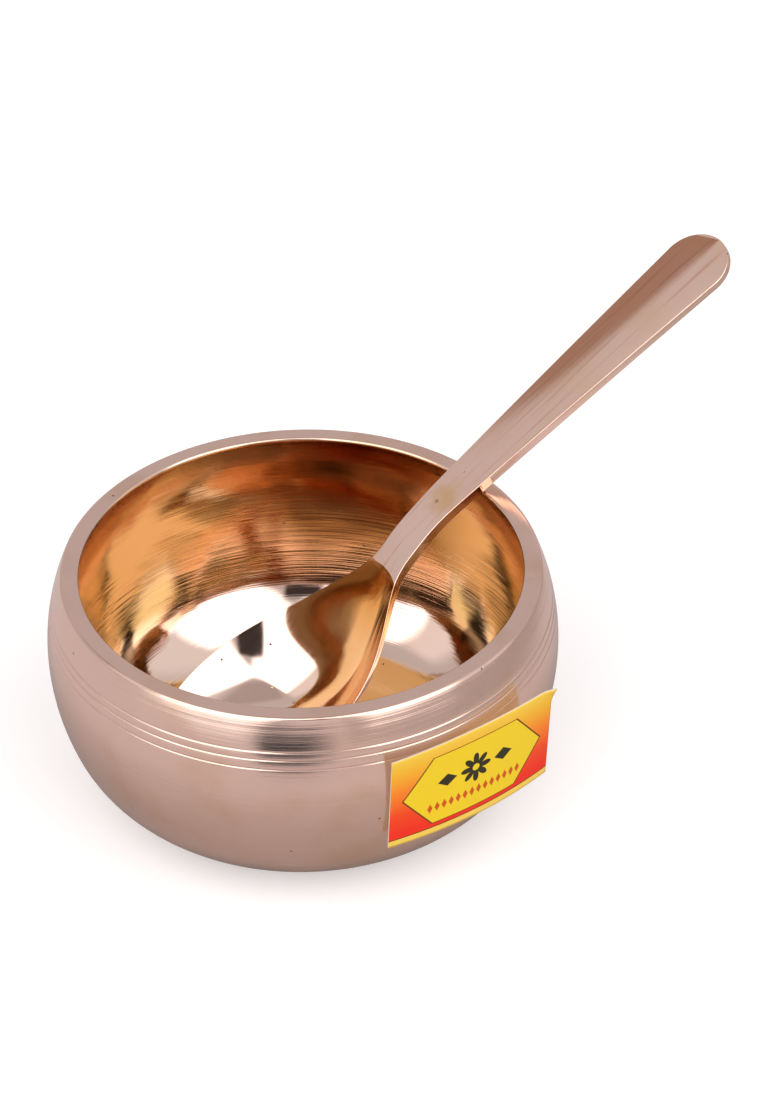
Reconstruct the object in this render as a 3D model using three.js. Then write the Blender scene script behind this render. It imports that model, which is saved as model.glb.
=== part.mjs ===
// A small heavy bronze bowl, turned inside and out, with its bronze spoon leaning in it
// and a card label stuck to its belly.
// Millimetres, +Z up. The origin is the centre of the flat foot, and the front faces -Y.

import * as THREE from 'three';
import { mergeVertices } from 'three/addons/utils/BufferGeometryUtils.js';

// Bowl: outside
const bellyRadius = 50;        // widest circle
const bowlHeight = 48.7;       // foot to rim
const bellyDepth = 17;         // rim down to the widest circle
const shoulderArc = 44;        // profile radius between the rim and the widest circle
const bellyArc = 47.5;         // profile radius just below the widest circle
const bellyTurn = 20;          // degrees that the belly arc turns before the foot arc takes over
const rimEdgeRound = 0.8;      // rounding of the rim's outer edge

// Bowl: inside
const rimInnerRadius = 43.1;   // mouth
const lipRound = 0.5;          // rounding of the mouth's edge
const bellyWall = 2.1;         // wall at the widest circle
const floorThickness = 2.9;
const floorRadius = 25;        // flat part of the floor
const floorArc = 20.75;        // profile radius where the floor turns up into the wall

// Three grooves turned into the shoulder, measured down from the rim
const grooveDepths = [6.45, 8.1, 10.05];
const grooveWidth = 0.7;
const grooveCut = 0.3;

// Spoon: s runs along it from the crease where the flat handle meets the hollow.
// It is positive towards the handle's end and negative towards the tip.
const handleLength = 94.5;
const spoonBowlLength = 57.2;
const neckWidth = 6.3;
const handleEndWidth = 15;
const spoonBowlWidth = 34.4;
const widestAt = 32.7;         // from the crease to the widest part of the spoon's bowl
const flareStart = 4.6;        // where the sides begin to flare, on the handle's side of the crease
const flareBlend = 3;          // softness of the bend between neck and bowl
const neckFade = 12;           // length over which that softness dies out along the handle
const neckDrop = 10.2;         // how far the bowl lies below the handle's line
const dropStart = 23.3;        // on the handle, where the drop begins
const dropEnd = 29.7;          // in the bowl, where the drop ends
const tipRise = 10.4;          // how far the tip sweeps up again
const endSag = 1.4;            // the handle's end bends down by this much
const hollowDepth = 7.8;
const hollowRoundness = 2.4;   // 2 is an ellipse's bottom, more is flatter
const creaseBulge = 1;         // the hollow's end is a shallow arc that bites into the handle
const creaseFade = 4;          // distance from the crease over which that arc dies out
const neckThickness = 2.3;
const endThickness = 1.85;
const spoonRimThickness = 1.1;
const spoonWall = 1.7;         // under the deepest part of the hollow
const keelStart = 7;           // the underside begins to swell this far up the handle

// Where the spoon leans
const spoonYaw = 27.9;         // degrees from +X towards +Y
const spoonOffset = 7.1;       // its line passes this far behind the bowl's axis
const creaseReach = 20;        // the crease stands this far past the axis, along that line

// Label: a stiff card that touches the belly along one line, its corners standing off
const labelLength = 38;
const labelHeight = 21.7;
const labelThickness = 0.35;
const labelDrop = 20.1;        // rim down to the card's middle
const labelFacing = 34.8;      // degrees from the front towards +X
const labelShift = 3.5;        // the card's middle lies this far to the right of the touching line
const labelBend = 19.4;        // degrees that the card turns over its length
const labelTilt = 1;           // degrees, its right end down
const labelTuck = 1.6;         // how far the lower corners are tucked in, and the upper ones out

const seatGap = 0.15;          // between pieces that rest on each other

// Facets
const turnSegments = 96;
const spoonColumns = 12;
const roundEndRings = 8;       // rings round each end of the spoon
const hollowRings = 9;         // from the widest part of its bowl to the crease
const neckRings = 5;           // from the crease to where the drop begins
const handleRings = 8;         // along the straight taper
const endCover = 0.96;         // share of the quarter turn that the end rings reach
const labelColumns = 16;
const weldTolerance = 1e-4;

// Search for the places where pieces rest
const startLean = 30;          // degrees, the spoon's first try
const seatRounds = 60;
const edgeStep = 0.25;         // between the points tried along the handle's edges
const cardSteps = 64;          // points tried each way over the card

const radians = THREE.MathUtils.degToRad;

// Points of a circular arc in the profile plane, angles in degrees, both ends included
function arcPoints(centre, radius, from, to, steps) {
  const points = [];
  for (let i = 0; i <= steps; i++) {
    const angle = radians(from + ((to - from) * i) / steps);
    points.push(new THREE.Vector2(centre.x + radius * Math.cos(angle), centre.y + radius * Math.sin(angle)));
  }
  return points;
}

// The bowl's profile arcs. Heights are measured up from the foot.
const bellyHeight = bowlHeight - bellyDepth;
const turnSine = Math.sin(radians(bellyTurn));
const turnCosine = Math.cos(radians(bellyTurn));
const footArc = (bellyHeight - bellyArc * turnSine) / (1 - turnSine);
const footRadius = bellyRadius - bellyArc + (bellyArc - footArc) * turnCosine;
const shoulderCentre = new THREE.Vector2(bellyRadius - shoulderArc, bellyHeight);
const bellyCentre = new THREE.Vector2(bellyRadius - bellyArc, bellyHeight);
const footCentre = new THREE.Vector2(footRadius, footArc);

// The inner belly arc touches the floor arc and stands upright at the widest circle
const innerRadius = bellyRadius - bellyWall;
const floorCentre = new THREE.Vector2(floorRadius, floorThickness + floorArc);
const reach = innerRadius - floorRadius;
const rise = bellyHeight - floorCentre.y;
const innerArc = (reach ** 2 + rise ** 2 - floorArc ** 2) / (2 * (reach - floorArc));
const innerCentre = new THREE.Vector2(innerRadius - innerArc, bellyHeight);
const innerTurn = THREE.MathUtils.radToDeg(Math.atan2(rise, floorRadius - innerCentre.x));

// Above the widest circle the inside leans back over the hollow, up to the lip
const lipDrop = bellyDepth - lipRound;
const lipOverhang = innerRadius - rimInnerRadius;
const overhangArc = (lipDrop ** 2 + lipOverhang ** 2) / (2 * lipOverhang);
const overhangCentre = new THREE.Vector2(innerRadius - overhangArc, bellyHeight);
const overhangTurn = THREE.MathUtils.radToDeg(Math.asin(lipDrop / overhangArc));

// Outer radius of the bowl at a height above the foot
function outerRadius(height) {
  const above = height - bellyHeight;
  if (above >= 0) return shoulderCentre.x + Math.sqrt(shoulderArc ** 2 - above ** 2);
  if (above > -bellyArc * turnSine) return bellyCentre.x + Math.sqrt(bellyArc ** 2 - above ** 2);
  return footCentre.x + Math.sqrt(Math.max(footArc ** 2 - (height - footArc) ** 2, 0));
}

// Height of the surface that the spoon can lie on, at a distance from the axis:
// the floor, the inner wall, or the top of the rim
function restHeight(radius) {
  if (radius <= floorRadius) return floorThickness;
  if (radius >= rimInnerRadius) return bowlHeight;
  const across = radius - floorRadius;
  if (across < floorArc * Math.cos(radians(innerTurn))) {
    return floorCentre.y - Math.sqrt(floorArc ** 2 - across ** 2);
  }
  return bellyHeight - Math.sqrt(innerArc ** 2 - (radius - innerCentre.x) ** 2);
}

// Shoulder points from the widest circle up to the rim, with a V cut for each groove
function shoulderPoints() {
  const points = [];
  const top = bowlHeight - rimEdgeRound;
  const grooves = grooveDepths.map((depth) => bowlHeight - depth).sort((a, b) => a - b);
  const plainSteps = 4;
  for (let i = 0; i < plainSteps; i++) {
    const height = bellyHeight + ((grooves[0] - grooveWidth - bellyHeight) * i) / plainSteps;
    points.push(new THREE.Vector2(outerRadius(height), height));
  }
  for (const height of grooves) {
    for (const [shift, cut] of [[-grooveWidth / 2, 0], [0, grooveCut], [grooveWidth / 2, 0]]) {
      points.push(new THREE.Vector2(outerRadius(height + shift) - cut, height + shift));
    }
  }
  const last = grooves[grooves.length - 1] + grooveWidth;
  for (let i = 0; i < plainSteps; i++) {
    const height = last + ((top - last) * i) / plainSteps;
    points.push(new THREE.Vector2(outerRadius(height), height));
  }
  return points;
}

function bowlGeometry() {
  const edgeLean = THREE.MathUtils.radToDeg(Math.asin((bellyDepth - rimEdgeRound) / shoulderArc));
  const edgeHeight = bowlHeight - rimEdgeRound;
  const edgeCentre = new THREE.Vector2(
    outerRadius(edgeHeight) - rimEdgeRound / Math.cos(radians(edgeLean)), edgeHeight);
  const lipCentre = new THREE.Vector2(rimInnerRadius + lipRound, bowlHeight - lipRound);
  const profile = [
    new THREE.Vector2(0, 0),
    ...arcPoints(footCentre, footArc, -90, -bellyTurn, 9),
    ...arcPoints(bellyCentre, bellyArc, -bellyTurn, 0, 4).slice(1, -1),
    ...shoulderPoints(),
    ...arcPoints(edgeCentre, rimEdgeRound, edgeLean, 90, 3),
    ...arcPoints(lipCentre, lipRound, 90, 180, 3),
    ...arcPoints(overhangCentre, overhangArc, overhangTurn, 0, 5).slice(1),
    ...arcPoints(innerCentre, innerArc, 0, -innerTurn, 4).slice(1),
    ...arcPoints(floorCentre, floorArc, -innerTurn, -90, 6).slice(1),
    new THREE.Vector2(0, floorThickness),
  ];
  const turned = new THREE.LatheGeometry(profile, turnSegments);
  turned.rotateX(Math.PI / 2);
  return welded(turned);
}

// Keeps only positions and joins the vertices that coincide
function welded(geometry) {
  geometry.deleteAttribute('normal');
  geometry.deleteAttribute('uv');
  const closed = mergeVertices(geometry, weldTolerance);
  closed.computeVertexNormals();
  return closed;
}

// A closed solid through a row of rings with equal numbers of points, fanned shut at both ends
function loft(rings) {
  const count = rings[0].length;
  const positions = rings.flat().flatMap((point) => point.toArray());
  const centres = [rings[0], rings[rings.length - 1]].map((ring) =>
    ring.reduce((sum, point) => sum.add(point), new THREE.Vector3()).divideScalar(count));
  positions.push(...centres[0].toArray(), ...centres[1].toArray());
  const firstCentre = rings.length * count;
  const lastRing = (rings.length - 1) * count;
  const faces = [];
  for (let k = 0; k < count; k++) {
    const next = (k + 1) % count;
    for (let i = 0; i < rings.length - 1; i++) {
      const a = i * count + k;
      const b = i * count + next;
      faces.push(a, b, b + count, a, b + count, a + count);
    }
    faces.push(firstCentre, next, k, firstCentre + 1, lastRing + k, lastRing + next);
  }
  const solid = new THREE.BufferGeometry();
  solid.setAttribute('position', new THREE.Float32BufferAttribute(positions, 3));
  solid.setIndex(faces);
  solid.computeVertexNormals();
  return solid;
}

// Half the spoon's width at s: a straight taper along the handle, an egg round the bowl,
// joined by a soft maximum, with elliptical ends
function halfWidth(s) {
  const endRadius = handleEndWidth / 2;
  const taperEnd = handleLength - endRadius;
  const side = Math.max(s, -widestAt);
  const share = THREE.MathUtils.clamp(side / taperEnd, -1, 1);
  const taper = neckWidth / 2 + ((handleEndWidth - neckWidth) / 2) * share;
  const flare = THREE.MathUtils.clamp((flareStart - side) / (flareStart + widestAt), 0, 1);
  const egg = (spoonBowlWidth / 2) * Math.sin((Math.PI / 2) * flare);
  const soft = (taper + egg + Math.hypot(taper - egg, flareBlend)) / 2;
  const fade = THREE.MathUtils.smoothstep(s, flareStart, flareStart + neckFade);
  const sides = soft + (taper - soft) * fade;
  if (s > taperEnd) return taper * Math.sqrt(Math.max(1 - ((s - taperEnd) / endRadius) ** 2, 0));
  if (s < -widestAt) {
    const past = (-s - widestAt) / (spoonBowlLength - widestAt);
    return sides * Math.sqrt(Math.max(1 - past ** 2, 0));
  }
  return sides;
}

// Height of the spoon's upper edge at s: the handle's line, a smooth drop into the bowl, and the tip's rise
function edgeHeight(s) {
  const t = THREE.MathUtils.clamp((dropStart - s) / (dropStart + dropEnd), 0, 1);
  const drop = neckDrop * (t - Math.sin(2 * Math.PI * t) / (2 * Math.PI));
  const sag = endSag * Math.max(s / handleLength, 0) ** 2;
  const rise = tipRise * Math.max(-s / spoonBowlLength, 0) ** 2;
  return rise - drop - sag;
}

// Share of the full depth of a hollow or a keel that starts at s = start and ends at s = end.
// It is 1 at the deepest place and 0 on the outline. across runs from -1 to 1 over the width.
function dish(s, across, start, end) {
  const q = s > -widestAt
    ? (s + widestAt) / (start + widestAt)
    : (-s - widestAt) / (-end - widestAt);
  if (q >= 1) return 0;
  const away = q ** 2 + across ** 2 * (1 - q ** 2);
  return 1 - away ** (hollowRoundness / 2);
}

// Thickness of the flat handle at s
function plateThickness(s) {
  const share = THREE.MathUtils.clamp(s / handleLength, 0, 1);
  return neckThickness + (endThickness - neckThickness) * share;
}

// One ring of the spoon at s: the upper face from left to right, then the underside back
function spoonRing(s) {
  const bulge = creaseBulge * Math.exp(-((s / creaseFade) ** 2));
  const plate = plateThickness(s);
  const toRim = THREE.MathUtils.smoothstep(-s, -keelStart, widestAt / 2);
  const edge = plate + (spoonRimThickness - plate) * toRim;
  const keelDepth = hollowDepth + spoonWall - spoonRimThickness;
  const ring = [];
  for (const under of [false, true]) {
    for (let i = 0; i <= spoonColumns; i++) {
      const across = (under ? -1 : 1) * ((2 * i) / spoonColumns - 1);
      const along = s + bulge * (1 - across ** 2);
      const side = -across * halfWidth(s);
      const height = edgeHeight(along);
      const deep = under
        ? edge + keelDepth * dish(s, across, keelStart, -spoonBowlLength)
        : hollowDepth * dish(s, across, 0, -spoonBowlLength + spoonRimThickness);
      ring.push(new THREE.Vector3(along, side, height - deep));
    }
  }
  return ring;
}

// Stations along the spoon, closer together round both ends
function spoonStations() {
  const stations = [];
  const tipSpan = spoonBowlLength - widestAt;
  const endRadius = handleEndWidth / 2;
  const taperEnd = handleLength - endRadius;
  for (let i = roundEndRings; i > 0; i--) {
    stations.push(-widestAt - tipSpan * Math.sin((Math.PI / 2) * endCover * (i / roundEndRings)));
  }
  for (let i = 0; i < hollowRings; i++) {
    stations.push(-widestAt * (1 - i / hollowRings));
  }
  for (let i = 0; i < neckRings; i++) {
    stations.push(dropStart * (i / neckRings));
  }
  for (let i = 0; i < handleRings; i++) {
    stations.push(dropStart + (taperEnd - dropStart) * (i / handleRings));
  }
  for (let i = 0; i <= roundEndRings; i++) {
    stations.push(taperEnd + endRadius * Math.sin((Math.PI / 2) * endCover * (i / roundEndRings)));
  }
  return stations;
}

// The spoon's turn: yaw about the upright, then pitch up along its length, then roll about its length
function spoonTurn(pitch, roll) {
  const yawTurn = new THREE.Matrix4().makeRotationZ(radians(spoonYaw));
  const pitchTurn = new THREE.Matrix4().makeRotationY(-pitch);
  const rollTurn = new THREE.Matrix4().makeRotationX(roll);
  return yawTurn.multiply(pitchTurn).multiply(rollTurn);
}

// Leans the spoon so that its bowl touches the floor or the inner wall and both edges of its handle
// touch the rim, each with the seat gap. The crease stays over its place in plan.
function seatSpoon(rings) {
  const yaw = radians(spoonYaw);
  const crease = new THREE.Vector3(
    creaseReach * Math.cos(yaw) - spoonOffset * Math.sin(yaw),
    creaseReach * Math.sin(yaw) + spoonOffset * Math.cos(yaw), 0);
  const underPoints = rings.flatMap((ring) => ring.slice(spoonColumns + 1));
  const inHollow = (point) => Math.hypot(point.x, point.y) < rimInnerRadius;
  const handleEdge = (sign) => {
    const points = [];
    for (let s = 0; s < handleLength; s += edgeStep) {
      points.push(new THREE.Vector3(s, sign * halfWidth(s), edgeHeight(s) - plateThickness(s)));
    }
    return points;
  };
  const edges = [handleEdge(1), handleEdge(-1)];
  let pitch = radians(startLean);
  let roll = 0;
  let place = new THREE.Matrix4();
  for (let round = 0; round < seatRounds; round++) {
    place = spoonTurn(pitch, roll).setPosition(crease);
    const floorGap = Math.min(...underPoints.map((point) => {
      const p = point.clone().applyMatrix4(place);
      return inHollow(p) ? p.z - restHeight(Math.hypot(p.x, p.y)) : Infinity;
    }));
    const lift = seatGap - floorGap;
    place.setPosition(crease.clone().setZ(lift));
    const rimGaps = edges.map((edge) => {
      const moved = edge.map((point) => point.clone().applyMatrix4(place));
      const over = moved.filter((p) => !inHollow(p));
      return Math.min(...over.map((p) => p.z)) - bowlHeight;
    });
    pitch += (seatGap - Math.min(...rimGaps)) / (bellyRadius + creaseReach);
    roll += (rimGaps[1] - rimGaps[0]) / handleEndWidth;
  }
  return place;
}

function spoonMesh() {
  const rings = spoonStations().map(spoonRing);
  const mesh = new THREE.Mesh(loft(rings), new THREE.MeshStandardMaterial({
    color: 0xdcb294, roughness: 0.12, metalness: 1 }));
  mesh.name = 'spoon';
  seatSpoon(rings).decompose(mesh.position, mesh.quaternion, mesh.scale);
  return mesh;
}

function bowlMesh() {
  const mesh = new THREE.Mesh(bowlGeometry(), new THREE.MeshStandardMaterial({
    color: 0xd8b09a, roughness: 0.25, metalness: 1 }));
  mesh.name = 'bowl';
  return mesh;
}

// The card before it is pushed against the belly, for one share of its length:
// upper and lower corner of the face, then of the back
function labelRing(share, distance) {
  const facing = radians(labelFacing);
  const bend = radians(labelBend);
  const outward = new THREE.Vector3(Math.sin(facing), -Math.cos(facing), 0);
  const sideways = new THREE.Vector3(Math.cos(facing), Math.sin(facing), 0);
  const turn = bend * (share - 0.5);
  const bendRadius = labelLength / bend;
  const alongCard = bendRadius * Math.sin(turn);
  const fallBack = bendRadius * (1 - Math.cos(turn));
  const tilt = Math.tan(radians(labelTilt)) * alongCard;
  const tuck = (labelTuck / 2) * (1 + (2 * share - 1) ** 2);
  const ring = [];
  for (const [side, back] of [[0.5, 0], [-0.5, 0], [-0.5, 1], [0.5, 1]]) {
    const point = sideways.clone().multiplyScalar(labelShift + alongCard);
    point.addScaledVector(outward, distance - fallBack + tuck * side + labelThickness * (0.5 - back));
    point.z = bowlHeight - labelDrop + labelHeight * side - tilt;
    ring.push(point);
  }
  return ring;
}

// Distance of the card from the axis at which its back clears the belly by the seat gap
function labelSeat() {
  const farOut = 2 * bellyRadius;
  let nearest = Infinity;
  const facing = radians(labelFacing);
  for (let i = 0; i <= cardSteps; i++) {
    const [, , lower, upper] = labelRing(i / cardSteps, farOut);
    for (let j = 0; j <= cardSteps; j++) {
      const point = lower.clone().lerp(upper, j / cardSteps);
      const sideways = point.x * Math.cos(facing) + point.y * Math.sin(facing);
      const outward = point.x * Math.sin(facing) - point.y * Math.cos(facing);
      const wall = Math.sqrt(Math.max(outerRadius(point.z) ** 2 - sideways ** 2, 0));
      nearest = Math.min(nearest, outward - wall);
    }
  }
  return farOut - nearest + seatGap;
}

function labelMesh() {
  const distance = labelSeat();
  const rings = [];
  for (let i = 0; i <= labelColumns; i++) rings.push(labelRing(i / labelColumns, distance));
  const mesh = new THREE.Mesh(loft(rings), new THREE.MeshStandardMaterial({
    color: 0xf0a020, roughness: 0.5, metalness: 0 }));
  mesh.name = 'paper_label';
  return mesh;
}

const bowlAndSpoon = new THREE.Group();
bowlAndSpoon.add(bowlMesh(), spoonMesh(), labelMesh());

export default bowlAndSpoon;
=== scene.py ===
# %% [markdown]
# # A turned bronze bowl with its spoon
# The real object is a small, heavy serving bowl, cast in bronze and turned on a lathe inside
# and out. A bronze spoon leans in it and a printed card is stuck to its belly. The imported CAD
# model gives the frame: every size and place below is the same as there, in millimetres, and
# the meshes are written in metres. Blender adds what the CAD leaves out: smooth surfaces,
# the satin and polished finishes, the print on the card, and the light.

import bmesh
import bpy
import numpy as np
from mathutils import Matrix


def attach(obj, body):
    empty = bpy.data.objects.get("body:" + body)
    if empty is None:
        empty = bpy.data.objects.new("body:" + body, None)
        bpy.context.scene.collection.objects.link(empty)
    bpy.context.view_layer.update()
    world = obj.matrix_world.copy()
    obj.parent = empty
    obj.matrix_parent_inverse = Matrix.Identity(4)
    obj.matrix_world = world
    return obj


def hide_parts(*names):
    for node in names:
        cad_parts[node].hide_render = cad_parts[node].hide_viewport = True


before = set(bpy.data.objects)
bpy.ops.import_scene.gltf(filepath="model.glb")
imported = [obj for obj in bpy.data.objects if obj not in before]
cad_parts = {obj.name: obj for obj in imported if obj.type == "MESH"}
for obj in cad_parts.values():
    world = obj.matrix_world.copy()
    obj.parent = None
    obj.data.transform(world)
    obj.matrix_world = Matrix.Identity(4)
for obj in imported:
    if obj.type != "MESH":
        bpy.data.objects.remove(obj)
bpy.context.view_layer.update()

# %% [markdown]
# ## Camera
# The photograph was taken with a long lens from above the front. The bowl's rim, its grooves
# and its outline fix the view: 36.9 degrees up, 0.70 m from the middle of the rim. The turn is
# built from three directions, right, up and forward, because that says plainly where it looks.

# %% Camera
MM = 0.001
bowl_height = 48.7
view_elevation = np.radians(36.89)
view_distance = 703.5
look_yaw, look_pitch, look_roll = np.radians([1.75, 36.73, -0.63])
sensor_height = 36.0
lens_per_frame_height = 3637 / 1108

forward = np.array([np.sin(look_yaw) * np.cos(look_pitch),
                    np.cos(look_yaw) * np.cos(look_pitch), -np.sin(look_pitch)])
level = np.array([np.cos(look_yaw), -np.sin(look_yaw), 0.0])
upright = np.cross(level, forward)
right = np.cos(look_roll) * level + np.sin(look_roll) * upright
up = -np.sin(look_roll) * level + np.cos(look_roll) * upright
eye = np.array([0.0, -view_distance * np.cos(view_elevation),
                bowl_height + view_distance * np.sin(view_elevation)]) * MM

camera_data = bpy.data.cameras.new("camera")
camera_data.sensor_fit = "VERTICAL"
camera_data.sensor_height = sensor_height
camera_data.lens = sensor_height * lens_per_frame_height
camera = bpy.data.objects.new("camera", camera_data)
turn = np.eye(4)
turn[:3, 0], turn[:3, 1], turn[:3, 2], turn[:3, 3] = right, up, -forward, eye
camera.matrix_world = Matrix(turn.tolist())
bpy.context.scene.collection.objects.link(camera)
bpy.context.scene.camera = camera
print("camera at", np.round(eye, 3), "lens", round(camera_data.lens, 1), "mm")

# %% [markdown]
# ## Small helpers for shader nodes
# Every finish below is a handful of nodes. These helpers make a node, set its values and
# join it to others, so that each material reads as a short list of steps.

# %% Node helpers
def add_node(tree, kind, inputs=None, **settings):
    """Adds one node. Its settings are set by name. Each entry of inputs is an input's name or
    number, with either a value or the output socket that feeds it."""
    made = tree.nodes.new(kind)
    for name, value in settings.items():
        setattr(made, name, value)
    for name, value in (inputs or {}).items():
        if isinstance(value, bpy.types.NodeSocket):
            tree.links.new(value, made.inputs[name])
        else:
            made.inputs[name].default_value = value
    return made


def maths(tree, operation, first, second=0.0):
    """One step of arithmetic on values or sockets."""
    return add_node(tree, "ShaderNodeMath", {0: first, 1: second}, operation=operation).outputs[0]


def vector_maths(tree, operation, first, second=(0.0, 0.0, 0.0), output="Vector"):
    """One step of arithmetic on vectors."""
    return add_node(tree, "ShaderNodeVectorMath", {0: first, 1: second},
                    operation=operation).outputs[output]


def ramp_between(tree, value, low, high, out_low=0.0, out_high=1.0, smooth=True):
    """out_low below low, out_high above high, and an even or smooth change between them. With
    low above high, the ramp falls where it would rise."""
    kind = "SMOOTHSTEP" if smooth else "LINEAR"
    return add_node(tree, "ShaderNodeMapRange",
                    {"Value": value, "From Min": low, "From Max": high,
                     "To Min": out_low, "To Max": out_high},
                    interpolation_type=kind).outputs["Result"]


def noise(tree, place, scale, detail, roughness=0.5):
    """Soft random values round a half, with more and rougher detail as asked."""
    return add_node(tree, "ShaderNodeTexNoise", {"Vector": place, "Scale": scale, "Detail": detail,
                                                 "Roughness": roughness}).outputs[0]


def own_value(tree, name, output="Vector"):
    """The value that each point of the mesh carries under a name."""
    return add_node(tree, "ShaderNodeAttribute", attribute_name=name).outputs[output]


def own_place(tree):
    """The place on the object, in metres."""
    return add_node(tree, "ShaderNodeTexCoord").outputs["Object"]


def split_up(tree, vector):
    """The three parts of a vector."""
    return add_node(tree, "ShaderNodeSeparateXYZ", {0: vector}).outputs


def mix_values(tree, share, first, second):
    """Mixes two numbers by a share from 0 to 1."""
    return add_node(tree, "ShaderNodeMix", {0: share, 2: first, 3: second}).outputs[0]


def mix_colours(tree, share, first, second):
    """Mixes two colours by a share from 0 to 1."""
    made = add_node(tree, "ShaderNodeMix", data_type="RGBA")
    for number, value in ((0, share), (6, first), (7, second)):
        if isinstance(value, bpy.types.NodeSocket):
            tree.links.new(value, made.inputs[number])
        else:
            made.inputs[number].default_value = value
    return made.outputs[2]


def blank_material(name):
    """A new material with an empty tree and its output node."""
    material = bpy.data.materials.new(name)
    material.use_nodes = True
    material.node_tree.nodes.clear()
    output = add_node(material.node_tree, "ShaderNodeOutputMaterial")
    return material, material.node_tree, output


# %% [markdown]
# ## Light
# Bronze shows what stands around it more than its own colour. Such a bowl is photographed
# between two tall soft boxes, one at each side of the camera, with a weaker glow beside each, a
# dim ceiling above, a dark doorway at the back left, and the dark camera in the gap in front.
# Lamps would make hard spots, so one world shader holds the whole studio by direction: flat
# panels with soft edges on an even wall. A node group works out how far a direction lies
# inside one panel. Light may bounce often, because the inside of the bowl mirrors itself.

# %% Group: soft box
def new_group(name, inputs, outputs):
    """A shader node group with named inputs, given as name, kind and starting value, and
    named outputs, given as name and kind."""
    group = bpy.data.node_groups.new(name, "ShaderNodeTree")
    for label_text, kind, value in inputs:
        socket = group.interface.new_socket(label_text, in_out="INPUT", socket_type=kind)
        socket.default_value = value
    for label_text, kind in outputs:
        group.interface.new_socket(label_text, in_out="OUTPUT", socket_type=kind)
    return group, group.nodes.new("NodeGroupInput"), group.nodes.new("NodeGroupOutput")


FLOAT, COLOUR, VECTOR = "NodeSocketFloat", "NodeSocketColor", "NodeSocketVector"
box_group, entry, leave = new_group(
    "soft_box",
    [("Direction", VECTOR, (0, 0, 1)), ("Centre", VECTOR, (0, 0, 1)), ("Across", VECTOR, (1, 0, 0)),
     ("Upward", VECTOR, (0, 1, 0)), ("Half width", FLOAT, 0.5), ("Half height", FLOAT, 0.5),
     ("Softness", FLOAT, 0.1)],
    [("Inside", FLOAT)])


def along(axis):
    """How far the direction points along one axis of the panel."""
    return vector_maths(box_group, "DOT_PRODUCT", entry.outputs["Direction"], entry.outputs[axis],
                        output="Value")


depth = maths(box_group, "MAXIMUM", along("Centre"), 0.001)
inside_both = ramp_between(box_group, along("Centre"), 0.0, 0.05)
for axis, half_size in (("Across", "Half width"), ("Upward", "Half height")):
    place = maths(box_group, "ABSOLUTE", maths(box_group, "DIVIDE", along(axis), depth))
    outer_edge = maths(box_group, "ADD", entry.outputs[half_size], entry.outputs["Softness"])
    inside = ramp_between(box_group, place, outer_edge, entry.outputs[half_size])
    inside_both = maths(box_group, "MULTIPLY", inside_both, inside)
box_group.links.new(inside_both, leave.inputs["Inside"])
print("group", box_group.name, len(box_group.nodes), "nodes")

# %% World
wall_colour = (0.60, 0.57, 0.58)
panels = [
    # name; azimuth and elevation of its middle, half its width, half its height, softness and
    # roll, all in degrees; colour. A later panel covers the earlier ones.
    ("upper wall", 0, 90, 36, 36, 16, 0, (0.60, 0.57, 0.57)),
    ("ceiling", 0, 90, 12, 12, 10, 0, (0.47, 0.42, 0.42)),
    ("left glow", -118, 36, 27, 24, 14, 0, (0.92, 0.87, 0.87)),
    ("right glow", 104, 38, 20, 30, 22, 0, (0.84, 0.82, 0.82)),
    ("low glow", -132, 4, 22, 9, 8, 0, (1.35, 1.4, 1.4)),
    ("left soft box", -139, 40, 22.5, 31, 8, 0, (2.25, 2.2, 2.2)),
    ("right soft box", 133, 38, 19, 32, 8, 0, (2.25, 2.2, 2.2)),
    ("doorway", -48.6, 45.2, 5.5, 6, 1.2, -45, (0.36, 0.245, 0.19)),
    ("stand", 175, 14, 9, 12, 7, 0, (0.82, 0.77, 0.79)),
    ("camera", 180, 37, 8.5, 7, 3.5, 0, (0.05, 0.04, 0.04)),
]


def panel_inside(tree, azimuth, elevation, half_width, half_height, softness, roll):
    """Places the soft box group. Azimuth 0 is straight behind the bowl and 90 is at its right.
    The sizes of a flat panel one unit away are the tangents of its angles."""
    turn_angle, rise_angle, roll_angle = np.radians([azimuth, elevation, roll])
    sine, cosine = np.sin(turn_angle), np.cos(turn_angle)
    centre = np.array([sine * np.cos(rise_angle), cosine * np.cos(rise_angle), np.sin(rise_angle)])
    level_axis, rising_axis = np.array([cosine, -sine, 0.0]), np.cross([cosine, -sine, 0.0], centre)
    across = np.cos(roll_angle) * level_axis + np.sin(roll_angle) * rising_axis
    upward = np.cos(roll_angle) * rising_axis - np.sin(roll_angle) * level_axis
    sizes = {name: float(np.tan(np.radians(angle))) for name, angle in
             (("Half width", half_width), ("Half height", half_height), ("Softness", softness))}
    made = add_node(tree, "ShaderNodeGroup", node_tree=box_group)
    tree.links.new(direction, made.inputs["Direction"])
    for name, value in {"Centre": centre, "Across": across, "Upward": upward, **sizes}.items():
        made.inputs[name].default_value = value
    return made.outputs["Inside"]


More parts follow.
